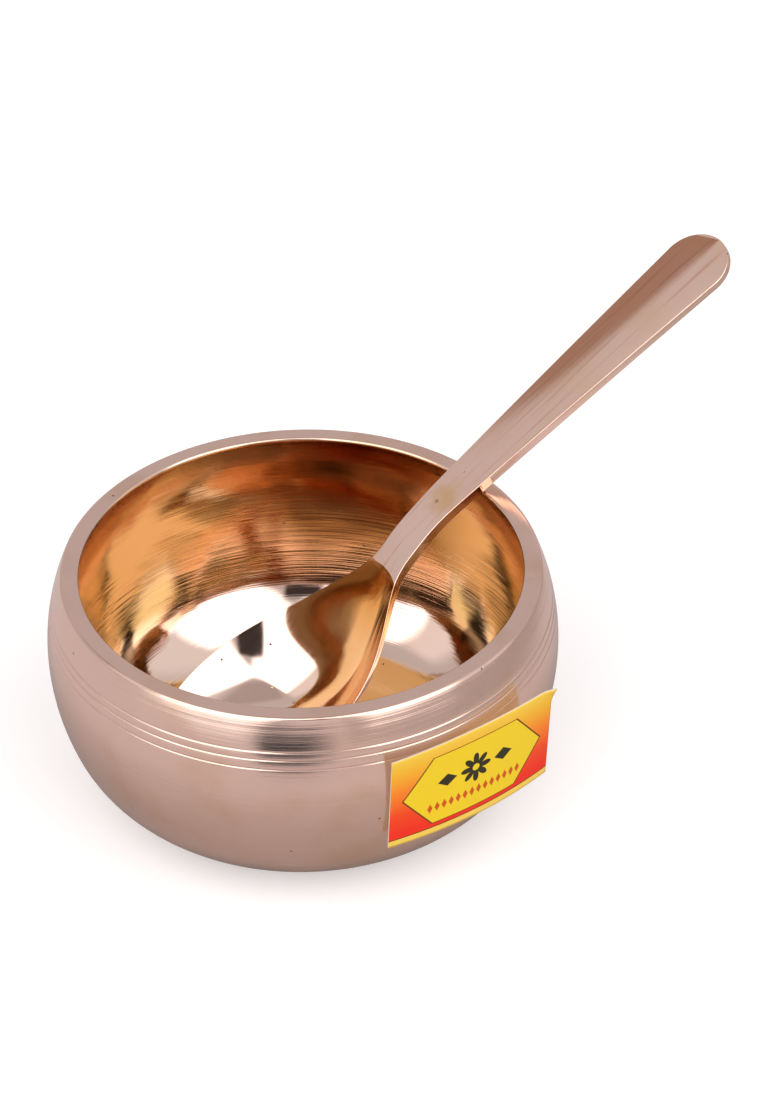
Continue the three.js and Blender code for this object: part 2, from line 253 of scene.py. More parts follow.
world = bpy.data.worlds.new("studio")
bpy.context.scene.world = world
world.use_nodes = True
sky = world.node_tree
sky.nodes.clear()
direction = add_node(sky, "ShaderNodeTexCoord").outputs["Generated"]
light = wall_colour + (1.0,)
for name, *place_and_size, colour in panels:
    light = mix_colours(sky, panel_inside(sky, *place_and_size), light, colour + (1.0,))
lit = add_node(sky, "ShaderNodeBackground", {"Color": light, "Strength": 1.0})
white = add_node(sky, "ShaderNodeBackground", {"Color": (1, 1, 1, 1), "Strength": 1.0})
seen = add_node(sky, "ShaderNodeLightPath").outputs["Is Camera Ray"]
blend = add_node(sky, "ShaderNodeMixShader", {0: seen, 1: lit.outputs[0], 2: white.outputs[0]})
add_node(sky, "ShaderNodeOutputWorld", {"Surface": blend.outputs[0]})
bpy.context.scene.view_settings.view_transform = "Standard"
bpy.context.scene.cycles.max_bounces = 24
bpy.context.scene.cycles.glossy_bounces = 16
print("light from", len(panels), "panels")

# %% [markdown]
# ## Floor
# The bowl stands on a pale sheet. The camera sees it nearly white, with the soft shadow of the bowl. Seen
# in the metal it is a middle grey with painted light on it. A painted dark reflection lies in front of the
# bowl and stands in for something dark in front of it. It gives the shoulder the dark spot that tells the
# eye it is metal. A painted shadow lies under the bowl.

# %% Floor
floor_half = 1.6
floor_mesh = bpy.data.meshes.new("floor")
corners = [(-floor_half, -floor_half, 0), (floor_half, -floor_half, 0),
           (floor_half, floor_half, 0), (-floor_half, floor_half, 0)]
floor_mesh.from_pydata(corners, [], [(0, 1, 2, 3)])
floor = bpy.data.objects.new("floor", floor_mesh)
bpy.context.scene.collection.objects.link(floor)
print("floor", 2 * floor_half, "m square")

# %% [markdown]
# The painted dark reflection begins a hand's width in front of the bowl and lies between two lines that fan
# out from it. The share of the way sideways to the way ahead says on which side of such a line a point is.
# As the metal sees it, the rest of the sheet is darker under the bowl, where a painted shadow lies, and
# darker at the far right.

# %% Sheet in the metal
patch_near, patch_far = (0.13, 0.19), (1.5, 0.9)
left_line, right_line, left_line_foot = (-0.45, -0.38), (0.26, -0.06), 0.02
painted_shadow_reach, far_right = (0.045, 0.11), (0.10, 0.17)
# Painted colours that only the metal sees: a dark reflection in front of the bowl and a shadow under it.
painted_reflection_colour, painted_shadow_colour = (0.02, 0.03, 0.04, 1), (0.42, 0.39, 0.38, 1)
sheet_colour, right_colour = (0.62, 0.585, 0.59, 1), (0.42, 0.40, 0.39, 1)
sheet_material, tree, output = blank_material("pale_sheet")
sheet_place = own_place(tree)
sheet_x, sheet_y, _ = split_up(tree, sheet_place)
ahead = maths(tree, "MULTIPLY", sheet_y, -1.0)
some_way_ahead = maths(tree, "MAXIMUM", ahead, 0.01)
sideways_share = maths(tree, "DIVIDE", sheet_x, some_way_ahead)
left_slant = maths(tree, "SUBTRACT", sideways_share,
                   maths(tree, "DIVIDE", left_line_foot, some_way_ahead))
between_lines = maths(tree, "MULTIPLY", ramp_between(tree, left_slant, *left_line),
                      ramp_between(tree, sideways_share, *right_line))
in_reach = maths(tree, "MULTIPLY", ramp_between(tree, ahead, *patch_near),
                 ramp_between(tree, ahead, *patch_far))
# Mask of the painted dark reflection in front of the bowl.
painted_dark_reflection = maths(tree, "MULTIPLY", in_reach, between_lines)
from_bowl = vector_maths(tree, "LENGTH", sheet_place, output="Value")
far_sheet = mix_colours(tree, ramp_between(tree, sheet_x, *far_right), sheet_colour, right_colour)
# Painted shadow: the sheet as the metal sees it is darker near the bowl.
open_sheet = mix_colours(tree, ramp_between(tree, from_bowl, *painted_shadow_reach), painted_shadow_colour, far_sheet)
reflected = mix_colours(tree, painted_dark_reflection, open_sheet, painted_reflection_colour)
print("dark patch from", patch_near[0], "to", patch_far[0], "m in front of the bowl")

# %% Sheet for the camera
seen_grey, seen_glow = 0.72, 0.36
reflected_sheet = add_node(tree, "ShaderNodeBsdfDiffuse", {"Color": reflected})
seen_sheet = add_node(tree, "ShaderNodeBsdfDiffuse", {"Color": (seen_grey, seen_grey, seen_grey, 1)})
glow = add_node(tree, "ShaderNodeEmission", {"Color": (1, 1, 1, 1), "Strength": seen_glow})
lifted = add_node(tree, "ShaderNodeAddShader", {0: seen_sheet.outputs[0], 1: glow.outputs[0]})
path = add_node(tree, "ShaderNodeLightPath")
sheet = add_node(tree, "ShaderNodeMixShader", {0: path.outputs["Is Camera Ray"],
                                              1: reflected_sheet.outputs[0], 2: lifted.outputs[0]})
tree.links.new(sheet.outputs[0], output.inputs["Surface"])
floor_mesh.materials.append(sheet_material)
print("sheet of", len(tree.nodes), "nodes")

# %% [markdown]
# ## From arrays to a mesh
# Each metal piece is one surface: a grid of points, one direction of which may close on
# itself. A grid turns into four-sided faces by numbering its points. Where a whole row falls
# on one point, as at a pole, the merge afterwards joins it and drops the faces that collapse.

# %% Grid to mesh
weld_distance = 1e-4 * MM


def grid_faces(rows, columns, wrap_columns):
    """The corner numbers of each face of a grid, whose points are numbered row by row."""
    row = np.arange(rows - 1)[:, None]
    column = np.arange(columns if wrap_columns else columns - 1)[None, :]
    following = (column + 1) % columns
    corner_a = row * columns + column
    corner_b = row * columns + following
    corner_c = (row + 1) * columns + following
    corner_d = (row + 1) * columns + column
    return np.stack(np.broadcast_arrays(corner_a, corner_b, corner_c, corner_d), -1).reshape(-1, 4)


def make_piece(name, points, wrap_columns, attributes):
    """A smooth object from a grid of points in millimetres, with named values kept per point.
    Points closer than the weld distance become one."""
    rows, columns = points.shape[:2]
    faces = grid_faces(rows, columns, wrap_columns)
    mesh = bpy.data.meshes.new(name)
    mesh.vertices.add(rows * columns)
    mesh.vertices.foreach_set("co", (points.reshape(-1, 3) * MM).ravel())
    mesh.loops.add(faces.size)
    mesh.loops.foreach_set("vertex_index", faces.ravel())
    mesh.polygons.add(len(faces))
    mesh.polygons.foreach_set("loop_start", np.arange(0, faces.size, 4))
    mesh.polygons.foreach_set("loop_total", np.full(len(faces), 4))
    mesh.update(calc_edges=True)
    for label, values in attributes.items():
        kind, field = ("FLOAT_VECTOR", "vector") if values.ndim == 3 else ("FLOAT", "value")
        layer = mesh.attributes.new(label, kind, "POINT")
        layer.data.foreach_set(field, values.astype(float).ravel())
    work = bmesh.new()
    work.from_mesh(mesh)
    bmesh.ops.remove_doubles(work, verts=work.verts, dist=weld_distance)
    bmesh.ops.dissolve_degenerate(work, edges=work.edges, dist=weld_distance / 10)
    bmesh.ops.recalc_face_normals(work, faces=work.faces)
    open_edges = sum(1 for edge in work.edges if not edge.is_manifold)
    work.to_mesh(mesh)
    work.free()
    mesh.polygons.foreach_set("use_smooth", np.ones(len(mesh.polygons), bool))
    piece = bpy.data.objects.new(name, mesh)
    bpy.context.scene.collection.objects.link(piece)
    print(name, len(mesh.polygons), "faces,", open_edges, "open edges")
    return piece


# %% [markdown]
# ## The bowl's profile
# A turned bowl is one outline spun round its axis. The outline runs from the middle of the
# foot, out and up the belly, over the shoulder with its three cut grooves, across the flat
# rim, and back down inside to the middle of the floor. It is made of arcs that meet without
# a kink, because a turner's tool sweeps in arcs.

# %% Profile sizes and arcs
belly_radius = 50.0
belly_height = bowl_height - 17.0
shoulder_arc, belly_arc, belly_turn = 44.0, 47.5, 20.0
rim_edge_round, rim_inner_radius, lip_round = 0.8, 43.1, 0.5
belly_wall, floor_thickness, floor_radius, floor_arc = 2.1, 2.9, 25.0, 20.75
groove_depths = np.array([6.45, 8.1, 10.05])
groove_width, groove_cut = 0.55, 0.10


def arc(centre, radius, start, end, count):
    """Points on a circle: the centre plus the radius times the cosine and sine of an angle
    that runs evenly from start to end, in degrees."""
    angle = np.radians(np.linspace(start, end, count))
    return np.column_stack([centre[0] + radius * np.cos(angle), centre[1] + radius * np.sin(angle)])


turn_sine, turn_cosine = np.sin(np.radians(belly_turn)), np.cos(np.radians(belly_turn))
foot_arc = (belly_height - belly_arc * turn_sine) / (1 - turn_sine)
foot_radius = belly_radius - belly_arc + (belly_arc - foot_arc) * turn_cosine
inner_radius = belly_radius - belly_wall
floor_centre = (floor_radius, floor_thickness + floor_arc)
reach, rise = inner_radius - floor_radius, belly_height - floor_centre[1]
inner_arc = (reach ** 2 + rise ** 2 - floor_arc ** 2) / (2 * (reach - floor_arc))
inner_centre = (inner_radius - inner_arc, belly_height)
inner_turn = np.degrees(np.arctan2(rise, floor_radius - inner_centre[0]))
lip_drop = bowl_height - belly_height - lip_round
lip_overhang = inner_radius - rim_inner_radius
overhang_arc = (lip_drop ** 2 + lip_overhang ** 2) / (2 * lip_overhang)
overhang_centre = (inner_radius - overhang_arc, belly_height)
overhang_turn = np.degrees(np.arcsin(lip_drop / overhang_arc))
print("foot disc", round(2 * foot_radius, 1), "mm across, inner wall arc", round(inner_arc, 1), "mm")

# %% [markdown]
# The grooves were cut with a pointed tool, and polishing softened them. Each one takes a
# rounded notch out of the shoulder's arc.

# %% The outline
def shoulder_radius(height):
    """The shoulder's arc, less one rounded notch for each groove: the cut times the squared
    cosine of the distance from the groove's middle, which is zero at half its width."""
    plain = belly_radius - shoulder_arc + np.sqrt(shoulder_arc ** 2 - (height - belly_height) ** 2)
    away = np.abs(height[:, None] - (bowl_height - groove_depths)[None, :]) / (groove_width / 2)
    notch = np.cos(np.pi / 2 * np.clip(away, 0, 1)) ** 2
    return plain - groove_cut * notch.sum(1)


def shoulder_points():
    """Heights from the widest circle to the rim, closer together round the grooves."""
    top, clear_of_groove = bowl_height - rim_edge_round, 0.6
    groove_heights = bowl_height - groove_depths
    offsets = np.linspace(-groove_width / 2, groove_width / 2, 9)
    near_grooves = (groove_heights[:, None] + offsets[None, :]).ravel()
    plain = np.concatenate([np.linspace(belly_height, groove_heights[-1] - clear_of_groove, 12),
                            np.linspace(groove_heights[0] + clear_of_groove, top, 12)])
    height = np.unique(np.round(np.concatenate([plain, near_grooves]), 5))
    return np.column_stack([shoulder_radius(height), height])


edge_height = bowl_height - rim_edge_round
edge_lean = np.degrees(np.arcsin((edge_height - belly_height) / shoulder_arc))
edge_outer = shoulder_radius(np.array([edge_height]))[0]
edge_centre = (edge_outer - rim_edge_round / np.cos(np.radians(edge_lean)), edge_height)
lip_centre = (rim_inner_radius + lip_round, bowl_height - lip_round)
rim_outer_flat, rim_inner_flat = edge_centre[0], lip_centre[0]
stretches = [
    ("foot", np.column_stack([np.linspace(0, foot_radius, 8)[:-1], np.zeros(7)])),
    ("belly low", arc((foot_radius, foot_arc), foot_arc, -90, -belly_turn, 34)),
    ("belly", arc((belly_radius - belly_arc, belly_height), belly_arc, -belly_turn, 0, 14)[1:-1]),
    ("shoulder", shoulder_points()),
    ("rim edge", arc(edge_centre, rim_edge_round, edge_lean, 90, 9)[1:]),
    ("rim", np.column_stack([np.linspace(rim_outer_flat, rim_inner_flat, 5)[1:-1],
                             np.full(3, bowl_height)])),
    ("lip", arc(lip_centre, lip_round, 90, 180, 8)),
    ("overhang", arc(overhang_centre, overhang_arc, overhang_turn, 0, 20)[1:]),
    ("inner wall", arc(inner_centre, inner_arc, 0, -inner_turn, 12)[1:]),
    ("floor arc", arc(floor_centre, floor_arc, -inner_turn, -90, 26)[1:]),
    ("floor", np.column_stack([np.linspace(floor_radius, 0, 12)[1:], np.full(11, floor_thickness)])),
]
outline = np.concatenate([points for _, points in stretches])
steps = np.linalg.norm(np.diff(outline, axis=0), axis=1)
along_outline = np.concatenate([[0.0], np.cumsum(steps)])
marks = {}
count_so_far = 0
for label, points in stretches:
    marks[label] = float(along_outline[count_so_far])
    count_so_far += len(points)
print("outline of", len(outline), "points,", round(along_outline[-1], 1), "mm long")

# %% [markdown]
# ## The bowl
# Spinning the outline gives the whole bowl, inside and out, as one closed surface. Each point
# keeps how far along the outline it lies, so that the finish can change from the satin
# outside to the polished inside, and the turning marks can run round it.

# %% Turn the bowl
turn_steps = 360


def turned(profile, count):
    """Every point of a profile, given as radius and height, carried round the upright axis:
    the radius times the cosine and sine of an even angle, and the height unchanged."""
    angle = np.linspace(0, 2 * np.pi, count, endpoint=False)
    around_axis = np.stack([np.cos(angle), np.sin(angle)], -1)
    level_part = profile[:, None, 0, None] * around_axis[None]
    height = np.broadcast_to(profile[:, None, 1, None], level_part.shape[:2] + (1,))
    return np.concatenate([level_part, height], -1)


bowl_points = turned(outline, turn_steps)
outline_place = np.broadcast_to(along_outline[:, None], bowl_points.shape[:2])
bowl = make_piece("bronze_bowl", bowl_points, True, {"along_outline": outline_place})
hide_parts("bowl")
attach(bowl, "bowl")

# %% [markdown]
# ## The spoon's shape
# The spoon is one casting: a flat handle that widens towards its end, a neck, and an
# egg-shaped bowl that lies below the handle's line. It is described in its own straight frame,
# with s along it from the crease where handle meets hollow. Three plain functions of s give
# its width, its height and its hollow, and everything else follows from them.

# %% Spoon sizes
handle_length, spoon_bowl_length = 94.5, 57.2
neck_width, handle_end_width, spoon_bowl_width = 6.3, 15.0, 34.4
widest_at, flare_start, flare_blend, neck_fade = 32.7, 4.6, 3.0, 12.0
neck_drop, drop_start, drop_end, tip_rise, end_sag = 10.2, 23.3, 29.7, 10.4, 1.4
hollow_depth, hollow_roundness, crease_bulge, crease_fade = 8.26, 1.9, 1.0, 4.0
hollow_deepest, hollow_fall, hollow_lean, hollow_twist, twist_middle = 31.3, 1.5, 0.105, -0.276, 20.0
keel_depth, keel_fall, keel_roundness = 8.4, 2.0, 2.4
neck_thickness, end_thickness, spoon_rim_thickness = 2.3, 1.85, 1.1
keel_start, edge_round = 7.0, 0.18
end_radius = handle_end_width / 2
taper_end = handle_length - end_radius
tip_span = spoon_bowl_length - widest_at


def smoothstep(value, low, high):
    """0 below low, 1 above high, and between them three times the square less twice the cube
    of the share of the way."""
    share = np.clip((value - low) / (high - low), 0, 1)
    return share * share * (3 - 2 * share)


def side_width(s):
    """Half the width before the ends are rounded: a straight taper for the handle and a sine
    for the bowl, joined by a soft maximum, which is half of their sum plus the root of the
    squared difference and the squared blend."""
    side = np.maximum(s, -widest_at)
    share = np.clip(side / taper_end, -1, 1)
    taper = neck_width / 2 + (handle_end_width - neck_width) / 2 * share
    flare = np.clip((flare_start - side) / (flare_start + widest_at), 0, 1)
    egg = spoon_bowl_width / 2 * np.sin(np.pi / 2 * flare)
    soft = (taper + egg + np.hypot(taper - egg, flare_blend)) / 2
    fade = smoothstep(s, flare_start, flare_start + neck_fade)
    return soft + (taper - soft) * fade


def half_width(s):
    """Half the width: the side width, times an ellipse past the taper's end and past the
    widest part of the bowl."""
    past_end = np.clip((s - taper_end) / end_radius, 0, 1)
    past_widest = np.clip((-s - widest_at) / tip_span, 0, 1)
    return side_width(s) * np.sqrt((1 - past_end ** 2) * (1 - past_widest ** 2))


def edge_line(s):
    """Height of the upper edge: a smooth drop from the handle into the bowl, the handle's end
    bending down and the tip sweeping up, both with the square of the distance."""
    share = np.clip((drop_start - s) / (drop_start + drop_end), 0, 1)
    drop = neck_drop * (share - np.sin(2 * np.pi * share) / (2 * np.pi))
    sag = end_sag * np.maximum(s / handle_length, 0) ** 2
    rise_to_tip = tip_rise * np.maximum(-s / spoon_bowl_length, 0) ** 2
    return rise_to_tip - drop - sag


def plate_thickness(s):
    """The handle's thickness, which changes evenly along it."""
    return neck_thickness + (end_thickness - neck_thickness) * np.clip(s / handle_length, 0, 1)


print("spoon", handle_length + spoon_bowl_length, "mm long")

# %% [markdown]
# The hollow and the rounded underside are two dishes. Each is deepest under the widest part of
# the bowl and reaches zero on the outline. A hammered or cast hollow is never quite even: here
# its deepest line wanders from one side to the other on its way to the tip, which bends the
# mirrored edge of the big bowl into an S.

# %% Dish and edges
def dish(s, across, start, end, deepest, fall, roundness):
    """Share of the full depth: one minus a power of the distance from the deepest place. That
    distance joins the share of the way to the dish's end with the share of the half width."""
    ahead = (s + deepest) / (start + deepest)
    behind = (-s - deepest) / (-end - deepest)
    share = np.clip(np.where(s > -deepest, ahead, behind), 0, 1)
    lengthwise = share ** fall
    away = lengthwise + across ** 2 * (1 - lengthwise)
    return np.where(share >= 1, 0.0, 1 - away ** (roundness / 2))


def rim_thickness(s):
    """The side wall's height: the plate's on the handle, thinning to the rim of the bowl."""
    plate = plate_thickness(s)
    return plate + (spoon_rim_thickness - plate) * smoothstep(-s, -keel_start, widest_at / 2)


handle_crown, crown_start, crown_full = 0.22, 20.0, 80.0


def upper_height(s, across):
    """Height of the upper face: the edge line, less the hollow, and on the handle a low crown
    that falls away with the square of the distance from the middle."""
    wander = hollow_lean - hollow_twist * (s + twist_middle) / twist_middle
    leaning = across + wander * (1 - across ** 2)
    hollow = hollow_depth * dish(s, leaning, 0.0, -spoon_bowl_length + spoon_rim_thickness,
                                 hollow_deepest, hollow_fall, hollow_roundness)
    breadth = half_width(np.minimum(s, taper_end)) / end_radius
    crown = handle_crown * smoothstep(s, crown_start, crown_full) * breadth ** 2
    return edge_line(s) - hollow - crown * across ** 2


def lower_height(s, across):
    """Height of the underside: the edge line less the side wall and the keel."""
    keel = keel_depth * dish(s, across, keel_start, -spoon_bowl_length, widest_at,
                             keel_fall, keel_roundness)
    return edge_line(s) - rim_thickness(s) - keel


# %% [markdown]
# ## The spoon's surface
# Each station along the spoon gives one closed ring: across the upper face, round a small
# softened edge, down the side, and back across the underside. The softened edges are quarter
# circles set square to the outline, so they run evenly round both ends.

# %% Spoon rings
def spoon_stations():
    """Places along the spoon, even on the sides and set by an even angle round each end."""
    quarter = np.linspace(0, np.pi / 2, 29)
    tip = -widest_at - tip_span * np.sin(quarter[::-1])
    hollow = np.linspace(-widest_at, -0.3, 60)[1:]
    crease = np.concatenate([[-0.12, -0.05, 0.0, 0.05, 0.12, 0.3], np.linspace(0, 4, 9)[1:]])
    neck = np.linspace(4, drop_start, 30)[1:]
    straight = np.linspace(drop_start, taper_end, 50)[1:-1]
    end = taper_end + end_radius * np.sin(quarter)
    return np.concatenate([tip, hollow, crease, neck, straight, end])


def outline_normals(s, width):
    """Unit vectors square to the outline in plan: its direction from each station's
    neighbours, turned by a quarter. At the two ends they point straight along the spoon."""
    ahead, aside = np.gradient(s), np.gradient(width)
    normal = np.column_stack([-aside, ahead]) / np.hypot(ahead, aside)[:, None]
    normal[0], normal[-1] = (-1, 0), (1, 0)
    return normal


def spoon_grid():
    """The rings as one array, station by point by coordinate, in the spoon's own frame."""
    s = spoon_stations()
    width = half_width(s)
    width[0] = width[-1] = 0.0
    normal = outline_normals(s, width)
    inner_s = s - edge_round * normal[:, 0]
    inner_y = np.maximum(width - edge_round * normal[:, 1], 0.0)
    inner_y[0] = inner_y[-1] = 0.0
    face = np.sin(np.linspace(-np.pi / 2, np.pi / 2, 47))
    bend = np.linspace(0, np.pi / 2, 6)
    bulge = crease_bulge * np.exp(-(inner_s / crease_fade) ** 2)
    columns = []

    def add(along, side, height):
        columns.append(np.stack([along, side, height], -1))

    def edge_arc(sign, under):
        outward_first = (sign < 0) != under
        for angle in bend if outward_first else bend[::-1]:
            out, fall = np.sin(angle), 1 - np.cos(angle)
            along = inner_s + edge_round * normal[:, 0] * out
            side = sign * (inner_y + edge_round * normal[:, 1] * out)
            top = upper_height(inner_s, 1.0) - edge_round * fall
            bottom = lower_height(inner_s, 1.0) + edge_round * fall
            add(along, side, bottom if under else top)

    for across in -face:
        along = inner_s + bulge * (1 - across ** 2)
        height = upper_height(inner_s, across) + edge_line(along) - edge_line(inner_s)
        add(along, across * inner_y, height)
    edge_arc(-1, False)
    edge_arc(-1, True)
    for across in face:
        add(inner_s, across * inner_y, lower_height(inner_s, across))
    edge_arc(1, True)
    edge_arc(1, False)
    return np.stack(columns, 1)


spoon_local = spoon_grid()
print("spoon grid", spoon_local.shape, "box", np.round(np.ptp(spoon_local.reshape(-1, 3), axis=0), 1), "mm")

# %% [markdown]
# ## How the spoon rests
# The spoon is loose. Its bowl lies on the floor inside and both edges of its handle lie on
# the rim. The frame was made with the spoon leaning so, and the same lean is used here: it is
# turned about the upright, pitched up along its length and rolled a little about it.

# %% Seat the spoon
spoon_yaw, spoon_pitch, spoon_roll = np.radians([27.9, 32.685, 4.377])
spoon_offset, crease_reach, crease_height = 7.1, 20.0, 37.195
cos_yaw, cos_pitch, cos_roll = np.cos([spoon_yaw, spoon_pitch, spoon_roll])
sin_yaw, sin_pitch, sin_roll = np.sin([spoon_yaw, spoon_pitch, spoon_roll])
yaw_turn = np.array([[cos_yaw, -sin_yaw, 0], [sin_yaw, cos_yaw, 0], [0, 0, 1]])
pitch_turn = np.array([[cos_pitch, 0, -sin_pitch], [0, 1, 0], [sin_pitch, 0, cos_pitch]])
roll_turn = np.array([[1, 0, 0], [0, cos_roll, -sin_roll], [0, sin_roll, cos_roll]])
spoon_place = np.array([crease_reach * cos_yaw - spoon_offset * sin_yaw,
                        crease_reach * sin_yaw + spoon_offset * cos_yaw, crease_height])
spoon_points = spoon_local @ (yaw_turn @ pitch_turn @ roll_turn).T + spoon_place
print("crease at", np.round(spoon_place, 2))

# %% Make the spoon
spoon = make_piece("bronze_spoon", spoon_points, True, {"spoon_place": spoon_local})
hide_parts("spoon")
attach(spoon, "spoon")

# %% [markdown]
# ## The label
# A stiff printed card is stuck to the belly. It bends less than the belly does, so it touches
# along one upright band and its corners stand off. It is one curved sheet, and Solidify gives
# it a thickness, which closes its open edges with a cut paper edge.

# %% Label shape
label_length, label_height, label_thickness = 38.0, 21.7, 0.35
label_drop, label_facing, label_shift = 20.1, 34.8, 3.5
label_bend, label_tilt, label_tuck = 19.4, 1.0, 1.6
seat_gap, corner_curl = 0.15, 0.9
curl_from, curl_above, curl_rise, curl_pull = 0.93, 0.30, 0.20, 0.6
facing = np.radians(label_facing)
outward = np.array([np.sin(facing), -np.cos(facing), 0.0])
sideways = np.array([np.cos(facing), np.sin(facing), 0.0])


def outer_radius(height):
    """Outer radius of the bowl at a height, from the same arcs as the outline."""
    above = height - belly_height
    shoulder = belly_radius - shoulder_arc + np.sqrt(np.maximum(shoulder_arc ** 2 - above ** 2, 0))
    belly = belly_radius - belly_arc + np.sqrt(np.maximum(belly_arc ** 2 - above ** 2, 0))
    low = foot_radius + np.sqrt(np.maximum(foot_arc ** 2 - (height - foot_arc) ** 2, 0))
    return np.where(above >= 0, shoulder, np.where(above > -belly_arc * turn_sine, belly, low))


def label_sheet(share, side, distance):
    """The card's middle surface. Along its length it is an arc, which falls back from its
    middle by the radius times one minus the cosine. Up its height it leans by the tuck, more
    at the ends than in the middle. One corner curls out with the square of the way into it."""
    angle = np.radians(label_bend) * (share - 0.5)
    bend_radius = label_length / np.radians(label_bend)
    along_card = bend_radius * np.sin(angle)
    fall_back = bend_radius * (1 - np.cos(angle))
    tuck = label_tuck / 2 * (1 + (2 * share - 1) ** 2)
    out = distance - fall_back + tuck * side
    height = bowl_height - label_drop + label_height * side - np.tan(np.radians(label_tilt)) * along_card
    into_corner = (share - curl_from) / (1 - curl_from) + (side - curl_above) / curl_rise - 1
    curl = corner_curl * np.clip(into_corner, 0, 1) ** 2
    out = out + curl
    flat_part = (label_shift + along_card + curl_pull * curl)[..., None] * sideways
    return flat_part + out[..., None] * outward + height[..., None] * np.array([0.0, 0.0, 1.0])


share, side = np.meshgrid(np.linspace(0, 1, 65), np.linspace(-0.5, 0.5, 41), indexing="ij")
trial = label_sheet(share, side, 2 * belly_radius)
wall = np.sqrt(np.maximum(outer_radius(trial[..., 2]) ** 2 - (trial @ sideways) ** 2, 0))
clearance = np.min(trial @ outward - wall) - label_thickness / 2
label_points = label_sheet(share, side, 2 * belly_radius - clearance + seat_gap)
print("label stands off the belly by", seat_gap, "mm at the nearest")

# %% Make the label
print_place = np.stack([(share - 0.5) * label_length, side * label_height, np.zeros_like(share)], -1)
label = make_piece("printed_label", label_points, False, {"print_place": print_place})
middle = label.data.polygons[len(label.data.polygons) // 2]
if np.dot(middle.normal, outward) < 0:
    label.data.flip_normals()
wall_step = label.modifiers.new("card thickness", "SOLIDIFY")
wall_step.thickness = label_thickness * MM
wall_step.offset = 0.0
wall_step.material_offset = 1
wall_step.material_offset_rim = 1
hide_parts("paper_label")
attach(label, "bowl")

# %% [markdown]
# ## Turning marks
# A lathe leaves fine lines that run round the piece, however well it is polished. The marks
# are noise that is stretched round the axis: it changes quickly along the outline and slowly
# round the bowl. One group makes them for the outside and the inside.

# %% Group: turning marks
marks_group, entry, leave = new_group(
    "turning_marks",
    [("Place", FLOAT, 0.0), ("Lines per mm", FLOAT, 2.0), ("Drift", FLOAT, 1.0)],
    [("Marks", FLOAT)])
mark_x, mark_y, _ = split_up(marks_group, own_place(marks_group))
level_place = add_node(marks_group, "ShaderNodeCombineXYZ", {0: mark_x, 1: mark_y}).outputs[0]
unit_round = vector_maths(marks_group, "NORMALIZE", level_place)
round_share = add_node(marks_group, "ShaderNodeVectorMath",
                       {0: unit_round, "Scale": entry.outputs["Drift"]}, operation="SCALE").outputs[0]
line_place = maths(marks_group, "MULTIPLY", entry.outputs["Place"], entry.outputs["Lines per mm"])
stacked = add_node(marks_group, "ShaderNodeCombineXYZ", {2: line_place}).outputs[0]
pattern_place = vector_maths(marks_group, "ADD", round_share, stacked)
marks_group.links.new(noise(marks_group, pattern_place, 1.0, 3.0, 0.65), leave.inputs["Marks"])
print("group", marks_group.name, len(marks_group.nodes), "nodes")


def turning_marks(tree, place_socket, lines_per_mm, drift):
    """Places the turning marks in a material."""
    made = add_node(tree, "ShaderNodeGroup", node_tree=marks_group)
    tree.links.new(place_socket, made.inputs["Place"])
    made.inputs["Lines per mm"].default_value = lines_per_mm
    made.inputs["Drift"].default_value = drift
    return made.outputs["Marks"]


# %% [markdown]
# ## Wear on bronze
# Bronze that has been handled is never one even colour. It has broad warm patches where it
# has begun to tarnish, and here and there a tiny casting pit. Both metal pieces use this group.

# %% Group: tarnish and pits
wear_group, entry, leave = new_group(
    "bronze_wear",
    [("Clean", COLOUR, (0.8, 0.6, 0.5, 1)), ("Tarnished", COLOUR, (0.6, 0.35, 0.2, 1)),
     ("Patch size", FLOAT, 60.0), ("Pit density", FLOAT, 300.0), ("Pit size", FLOAT, 0.09)],
    [("Colour", COLOUR), ("Pits", FLOAT)])
spot = own_place(wear_group)
patches = noise(wear_group, spot, entry.outputs["Patch size"], 4.0, 0.6)
patch_share = ramp_between(wear_group, patches, 0.42, 0.75)
cells_without_pit, pit_bottom_share, pit_colour = 0.89, 0.4, (0.10, 0.06, 0.04, 1)
pit_cells = add_node(wear_group, "ShaderNodeTexVoronoi",
                     {"Vector": spot, "Scale": entry.outputs["Pit density"]})
cell_lot = add_node(wear_group, "ShaderNodeSeparateColor", {0: pit_cells.outputs["Color"]}).outputs[0]
few = ramp_between(wear_group, cell_lot, cells_without_pit, cells_without_pit + 0.01)
pit_edge = maths(wear_group, "MULTIPLY", entry.outputs["Pit size"], pit_bottom_share)
pit_shape = ramp_between(wear_group, pit_cells.outputs["Distance"], entry.outputs["Pit size"], pit_edge)
pits = maths(wear_group, "MULTIPLY", few, pit_shape)
worn = mix_colours(wear_group, patch_share, entry.outputs["Clean"], entry.outputs["Tarnished"])
pitted = mix_colours(wear_group, pits, worn, pit_colour)
wear_group.links.new(pitted, leave.inputs["Colour"])
wear_group.links.new(pits, leave.inputs["Pits"])
print("group", wear_group.name, len(wear_group.nodes), "nodes")

# %% [markdown]
# ## The bowl's finish
# Outside, the bowl is brushed while it turns, which leaves a satin that blurs reflections up
# and down. Inside and on the lip it is polished until it mirrors. The place along the outline
# says which finish a point has, so two soft masks come first: polished, and on the inner wall.

# %% Bowl finish: where each begins
lip_place, wall_place, floor_place = marks["lip"], marks["inner wall"], marks["floor arc"]
turned_bronze, tree, output = blank_material("turned_bronze")
outline_value = own_value(tree, "along_outline", "Fac")
polished = ramp_between(tree, outline_value, lip_place + 0.2, lip_place + 0.9)
on_wall = maths(tree, "MULTIPLY", polished,
                ramp_between(tree, outline_value, floor_place + 1, floor_place - 3))
brushed = turning_marks(tree, outline_value, 2.4, 0.12)
fine = turning_marks(tree, outline_value, 0.5, 0.6)
print("polished from", round(lip_place, 1), "mm along the outline")
